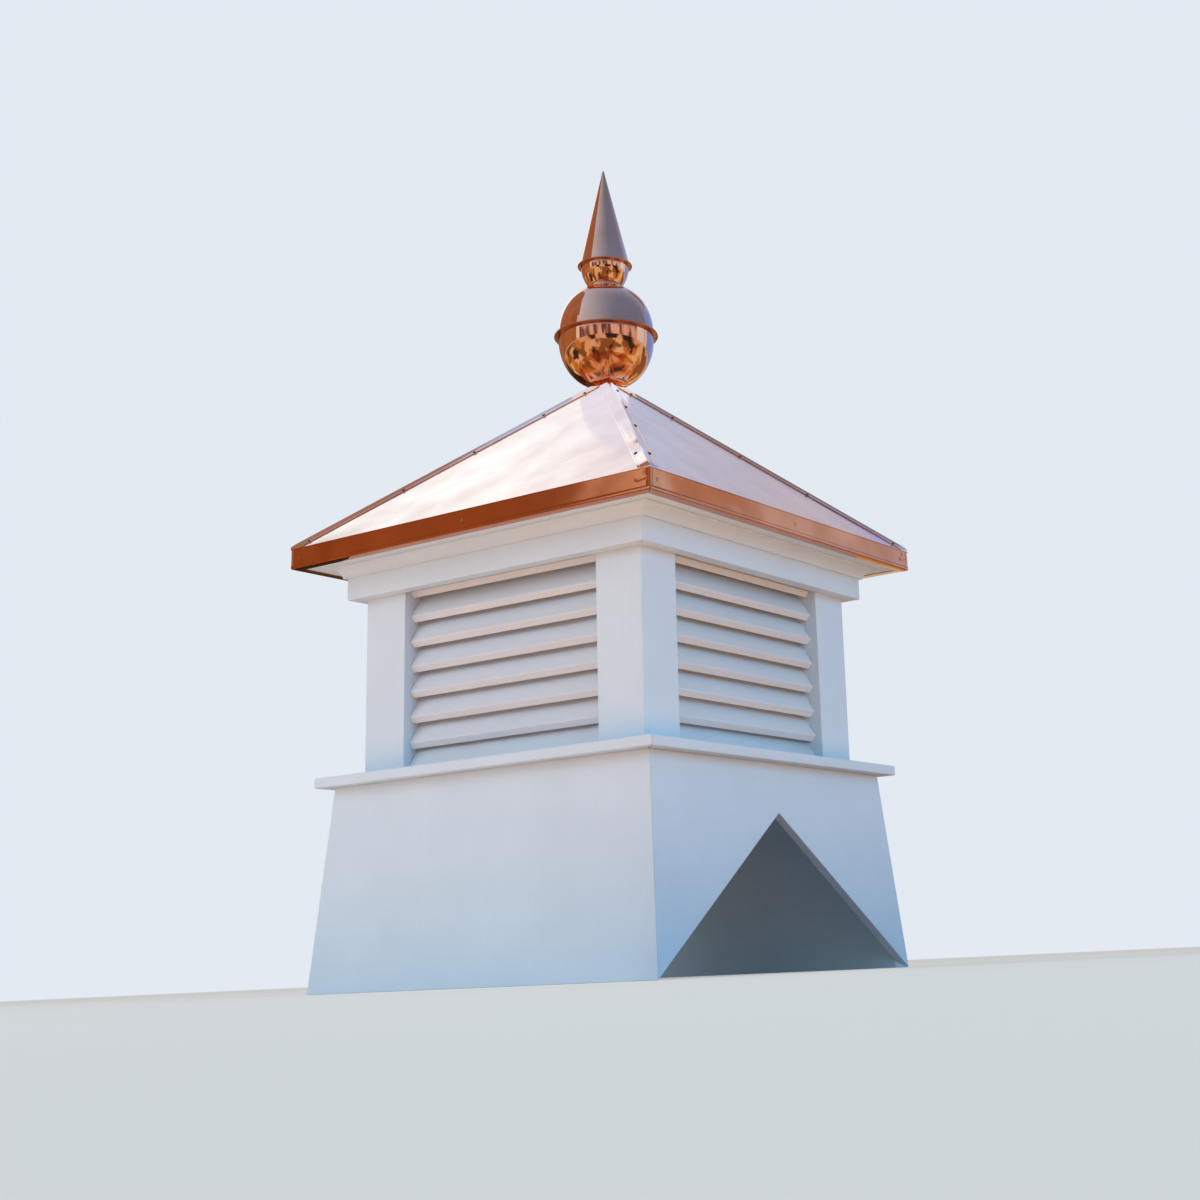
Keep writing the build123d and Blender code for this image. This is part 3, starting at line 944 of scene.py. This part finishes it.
class CUPOLA_OT_stage(bpy.types.Operator):
    """Set the floor, the background, the lamps and the camera"""

    bl_idname = "cupola.stage"
    bl_label = "Stage"

    card_centre = Vector((0.0, 0.0, 0.6))
    card_steps = 36
    floor_gap = 4 * MM
    # the camera's place, and its angles in degrees
    camera_place = (1.5053, -1.8827, 0.0098)
    camera_azimuth = 32.6039
    camera_elevation = -14.739
    camera_roll = -2.6262
    camera_lens = 52.97
    camera_shift = (-0.1583, -0.0833)
    # the shell round the ball: its elevations, and its hole as (row, column) places
    shell_low, shell_high, shell_steps = -78, 42, 60
    shell_hole = [(r, c) for r in range(6) for c in range(6, 9)]

    def execute(self, context):
        stage = context.scene.cupola_stage
        self.camera(context.scene)
        self.world(context.scene, stage)
        self.floor(stage)
        self.lamps(stage)
        self.cards()
        context.scene.view_settings.view_transform = "Standard"
        return {"FINISHED"}

    def camera(self, scene):
        data = bpy.data.cameras.new("camera")
        data.sensor_width = 36.0
        data.lens = self.camera_lens
        data.shift_x, data.shift_y = self.camera_shift
        data.clip_start = 0.01
        scene.camera = new_object("camera", data)
        back = direction(self.camera_azimuth, self.camera_elevation)
        level = (-back).cross(Vector((0, 0, 1))).normalized()
        upright = level.cross(-back)
        roll = math.radians(self.camera_roll)
        right = math.cos(roll) * level + math.sin(roll) * upright
        up = -math.sin(roll) * level + math.cos(roll) * upright
        turn = Matrix((right, up, back)).transposed().to_4x4()
        scene.camera.matrix_world = Matrix.Translation(self.camera_place) @ turn

    def world(self, scene, stage):
        """A pale background for the camera and for reflections, and soft light for the rest."""
        world = bpy.data.worlds.new("soft_surround")
        world.use_nodes = True
        tree = world.node_tree
        tree.nodes.clear()
        ray = add_node(tree, "ShaderNodeLightPath").outputs
        seen = maths(tree, "MAXIMUM", ray["Is Camera Ray"], ray["Is Glossy Ray"])
        shown = add_node(tree, "ShaderNodeBackground", {"Color": (*stage.background, 1), "Strength": 1.0})
        light = add_node(tree, "ShaderNodeBackground", {
            "Color": rgba("#DFF3FF"), "Strength": stage.soft_light})
        add_node(tree, "ShaderNodeOutputWorld", {"Surface": mixed(tree, seen, light, shown)})
        scene.world = world

    def floor(self, stage):
        """A wide matt floor that the cupola stands on."""
        work = bmesh.new()
        bmesh.ops.create_grid(work, x_segments=1, y_segments=1, size=40)
        material, tree, place = new_material("painted_floor")
        # rolled paint: a slow unevenness about 0.4 m across
        patch = blotches(tree, place, 0.4, 2.0)
        paint = blend(tree, patch, shade(stage.floor, 0.985), shade(stage.floor, 1.01))
        # painted shade: light that leaves the floor at the right is dark blue, so the right boards stay cool
        # and shaded near their foot
        ray = add_node(tree, "ShaderNodeLightPath").outputs
        spot = add_node(tree, "ShaderNodeSeparateXYZ", {0: place})
        painted_shade_share = maths(tree, "MULTIPLY", spread(tree, spot.outputs["X"], 0.24, 0.34), ray["Is Diffuse Ray"])
        matt = principled(tree, {
            "Base Color": blend(tree, painted_shade_share, paint, rgba("#2F4E86")), "Roughness": 1.0,
            "Specular IOR Level": 0.0})
        # half of what the camera sees is the paint's own colour, so the floor stays pale under its shadow
        share = maths(tree, "MULTIPLY", ray["Is Camera Ray"], 0.5)
        end_material(tree, mixed(tree, share, matt, glowing(tree, paint, 0.92)))
        self.add_stage_piece("floor", work, material)

    def lamps(self, stage):
        """A large soft lamp at the front left, a cool one at the right, and two warm ones that lie on the
        floor and light the undersides."""
        low = self.floor_gap
        for name, place, aim, size, power, code in (
                ("key_lamp", (-1.6, -3.0, 2.0), (0, 0, 0.5), 2.4, stage.key_power, "#E2EDFF"),
                ("fill_lamp", (3.2, -0.6, 1.2), (0, 0, 0.5), 2.0, stage.fill_power, "#62C6FF"),
                ("low_left_lamp", (-0.2, -1.6, low), (-0.2, -1.6, 1), 2.2, stage.low_power * 0.9, "#FFB062"),
                ("low_right_lamp", (1.7, -0.3, low), (1.7, -0.3, 1), 2.2, stage.low_power * 1.45, "#FFC46C")):
            data = bpy.data.lights.new(name, "AREA")
            data.shape = "SQUARE"
            data.size = size
            data.energy = power
            data.color = to_linear(code)
            lamp = new_object(name, data)
            lamp.location = place
            lamp.rotation_mode = "QUATERNION"
            lamp.rotation_quaternion = (Vector(aim) - Vector(place)).to_track_quat("-Z", "Y")
            lamp.visible_glossy = False
            lamp.visible_camera = False

    # each card: name, distance, azimuth from and to, elevation from and to, strength and colours, and where
    # they are not the usual ones how fine its blotches are in each direction and how soft their edges are
    card_rows = (
        ("brown_card", 8.5, -112, -36.4, 4, 32, 1.0, ("#B68E6C", "#9A7250")),
        ("brown_far_card", 8.5, -135, -112, 4, 22, 1.0, ("#AA8567", "#8F6A4C")),
        ("pale_corner_card", 8.5, -36.4, -27, 6, 21, 1.4, ("#D9E9FF",)),
        ("blue_edge_card", 8.5, 152, 196, 3, 33, 1.5, ("#6E9EFF",)),
        ("pink_side_card", 8.5, 143.4, 152, 5, 21, 1.7, ("#AFD0FF",)),
        ("grey_side_card", 8.5, 140.8, 143.4, 5, 21, 1.1, ("#C4B4AE",)),
        ("pale_side_card", 8.5, 118, 140.8, 5, 21, 1.9, ("#A9D2FF",)),
        ("grey_brown_card", 8.0, 176, 196, 35, 52, 1.0, ("#958F8C", "#7E7A78")),
        ("grey_high_card", 8.0, -128, -102, 57, 66, 1.0, ("#B4C3DA", "#A6B2C6")),
        ("streaked_card", 8.5, -27, 118, 3, 19, 0.9, ("#F2E8F0", "#75656C"), (5, 5, 0.6), 0.05),
        ("blotched_card", 8.0, -27, 118, -4, 4, 0.9, ("#EBE0CA", "#423538"), (1.8, 1.8, 1.2), 0.03),
        ("tan_far_card", 8.5, -100, 221, -24, 3, 1.0, ("#E7E6CB", "#CD9E53", "#8E6F4E", "#453B3E"),
         (2.0, 2.0, 3.4), 0.03),
        ("dark_low_card", 8.5, -139, -100, -24, 4, 1.0, ("#5A4C34", "#33291F"), (3, 3, 3), 0.1),
        ("tan_near_card", 8.5, -180, 180, -62, -24, 1.0, ("#CD9E53", "#B4683E", "#8A4F30", "#4A3A36"),
         (2.0, 2.0, 3.4), 0.05),
    )

    def card_material(self, name):
        """An empty material for a card, as (material, tree, direction from the cards' centre)."""
        material, tree, place = new_material(name)
        away = add_node(tree, "ShaderNodeVectorMath", {0: place, 1: self.card_centre}, operation="SUBTRACT")
        way = add_node(tree, "ShaderNodeVectorMath", {0: away}, operation="NORMALIZE")
        return material, tree, way

    def glow(self, name, strength, colours, fineness=(3, 3, 3), softness=0.2):
        """A card's light: one colour, blotched with the others by the direction it lies in."""
        material, tree, way = self.card_material(name)
        shown = rgba(colours[0])
        for index, code in enumerate(colours[1:]):
            blotch = blotches(tree, stretched(tree, way, fineness, 3.1 * index), 1.0, 2.5)
            level = 0.48 + 0.07 * index
            shown = blend(tree, spread(tree, blotch, level - softness, level + softness), shown, rgba(code))
        end_material(tree, glowing(tree, shown, strength))
        return material

    def sweep(self, name, strength, colours, toward, span, wobble):
        """A card's light that turns from one colour to another with the distance from a direction."""
        material, tree, way = self.card_material(name)
        lean = add_node(tree, "ShaderNodeVectorMath", {
            0: way, 1: direction(*toward)}, operation="DOT_PRODUCT")
        drift = maths(tree, "SUBTRACT", blotches(tree, way, 1 / 9, 2.0), 0.5)
        lean = maths(tree, "MULTIPLY_ADD", drift, wobble, lean.outputs["Value"])
        shown = blend(tree, spread(tree, lean, *span), rgba(colours[0]), rgba(colours[1]))
        end_material(tree, glowing(tree, shown, strength))
        return material

    def shell_glow(self):
        """A pale light that shines outwards only."""
        material, tree, _ = new_material("bright_shell")
        side = add_node(tree, "ShaderNodeNewGeometry").outputs["Backfacing"]
        clear = add_node(tree, "ShaderNodeBsdfTransparent")
        end_material(tree, mixed(tree, side, glowing(tree, rgba("#BFCDE2"), 1.6), clear))
        return material

    def add_stage_piece(self, name, work, material):
        mesh = plain_mesh(work, name)
        mesh.materials.append(material)
        piece = new_object(name, mesh)
        return piece

    def add_card(self, name, work, material):
        """A stage piece that only reflections see."""
        card = self.add_stage_piece(name, work, material)
        card.visible_camera = False
        card.visible_diffuse = False
        card.visible_shadow = False

    def card(self, name, distance, west, east, low, high, material):
        """Part of a sphere round the stage; high is an elevation, or gives one for each azimuth."""
        steps, drop = self.card_steps, self.card_centre.z - self.floor_gap
        work = bmesh.new()
        grid = [[] for _ in range(steps + 1)]
        for r, row in enumerate(grid):
            for c in range(steps + 1):
                azimuth = west + (east - west) * c / steps
                top = high(azimuth) if callable(high) else high
                way = direction(azimuth, low + (top - low) * r / steps)
                # a card that would reach under the floor lies on it
                reach = min(distance, drop / -way.z) if way.z < 0 else distance
                row.append(work.verts.new(self.card_centre + way * reach))
        fill_grid(work, grid)
        self.add_card(name, work, material)

    def arch(self, azimuth):
        """The upper edge of the arched card."""
        west, east, foot, rise = -125, -32, 32, 30
        return foot + rise * math.sqrt(max(0, math.sin(math.pi * (azimuth - west) / (east - west))))

    def cards(self):
        """Tinted cards round the stage that only reflections see, for the copper, because polished metal
        has no look of its own."""
        for name, distance, west, east, low, high, *look in self.card_rows:
            self.card(name, distance, west, east, low, high, self.glow(name, *look))
        # an arched brown card, for the brown left edge of the spun pieces
        self.card("brown_arch_card", 8.4, -112, -32, 32, self.arch,
                  self.glow("brown_arch_card", 1.0, ("#AA8B7C", "#9C7A68")))
        # white at its left end, lilac towards its middle: the front roof sheet and the ball mirror it
        self.card("pale_left_card", 8.5, -147, -112, 22, 60, self.sweep(
            "pale_left_card", 1.6, ("#C0C9DA", "#DAF0FA"), (-117, 33), (0.964, 0.990), 0.025))
        # at the far side: blue above, warmer low down
        self.card("pale_blue_card", 8.5, 196, 213, 3, 60, self.sweep(
            "pale_blue_card", 1.2, ("#B2B0BD", "#A9C7F0"), (-158, 90), (0.46, 0.60), 0.05))
        # light blue at the left, falling to a deep blue at the right
        blue = self.sweep("blue_card", 1.6, ("#A4CAFF", "#5E7EB9"), (100, 25), (-0.25, 0.8), 0)
        for name, west, east, low, high in (
                ("blue_card", -147, 213, 32, 62), ("blue_low_card", -38, 112, 18, 32),
                ("blue_side_card", 112, 196, 18, 33), ("blue_top_card", -180, 180, 62, 90)):
            self.card(name, 9.0, west, east, low, high, blue)
        self.shell()

    def shell(self):
        """Painted reflection: a pale glow, seen only in reflections, that keeps the ball's dark underside out
        of the roof sheets, but not out of the near hip cap's top.
        """
        steps = self.shell_steps
        centre, radius = Vector((0, 0, BALL_CENTRE)), BALL_BAND[1].x + 5 * MM
        work = bmesh.new()
        rings = []
        for r in range(steps + 1):
            elevation = self.shell_low + (self.shell_high - self.shell_low) * r / steps
            ring = [work.verts.new(centre + direction(360 * c / steps, elevation) * radius)
                    for c in range(steps)]
            rings.append(ring + ring[:1])
        fill_grid(work, rings, self.shell_hole)
        self.add_card("bright_shell", work, self.shell_glow())


class CUPOLA_PT_panel(bpy.types.Panel):
    """Lists the cupola's pieces and their settings"""

    bl_idname = "CUPOLA_PT_panel"
    bl_label = "Barn Cupola"
    bl_space_type = "VIEW_3D"
    bl_region_type = "UI"
    bl_category = "Cupola"

    def draw(self, context):
        column = self.layout.column(align=True)
        for operator in OPERATORS:
            column.operator(operator.bl_idname)
        for group in (context.scene.cupola_sizes, context.scene.cupola_colours, context.scene.cupola_stage):
            box = self.layout.box()
            for name in group.__annotations__:
                box.prop(group, name)


OPERATORS = (
    CUPOLA_OT_stage,
    CUPOLA_OT_base,
    CUPOLA_OT_trim,
    CUPOLA_OT_vents,
    CUPOLA_OT_roof,
    CUPOLA_OT_eave,
    CUPOLA_OT_hip_caps,
    CUPOLA_OT_finial,
    CUPOLA_OT_deck,
)
GROUPS = {"cupola_sizes": CupolaSizes, "cupola_colours": CupolaColours, "cupola_stage": CupolaStage}


def register():
    for item in (*GROUPS.values(), *OPERATORS, CUPOLA_PT_panel):
        bpy.utils.register_class(item)
    for name, group in GROUPS.items():
        setattr(bpy.types.Scene, name, bpy.props.PointerProperty(type=group))


def unregister():
    for name in GROUPS:
        delattr(bpy.types.Scene, name)
    for item in reversed((*GROUPS.values(), *OPERATORS, CUPOLA_PT_panel)):
        bpy.utils.unregister_class(item)


def main():
    register()
    for operator in OPERATORS:
        family, name = operator.bl_idname.split(".")
        getattr(getattr(bpy.ops, family), name)()


if __name__ == "__main__":
    main()
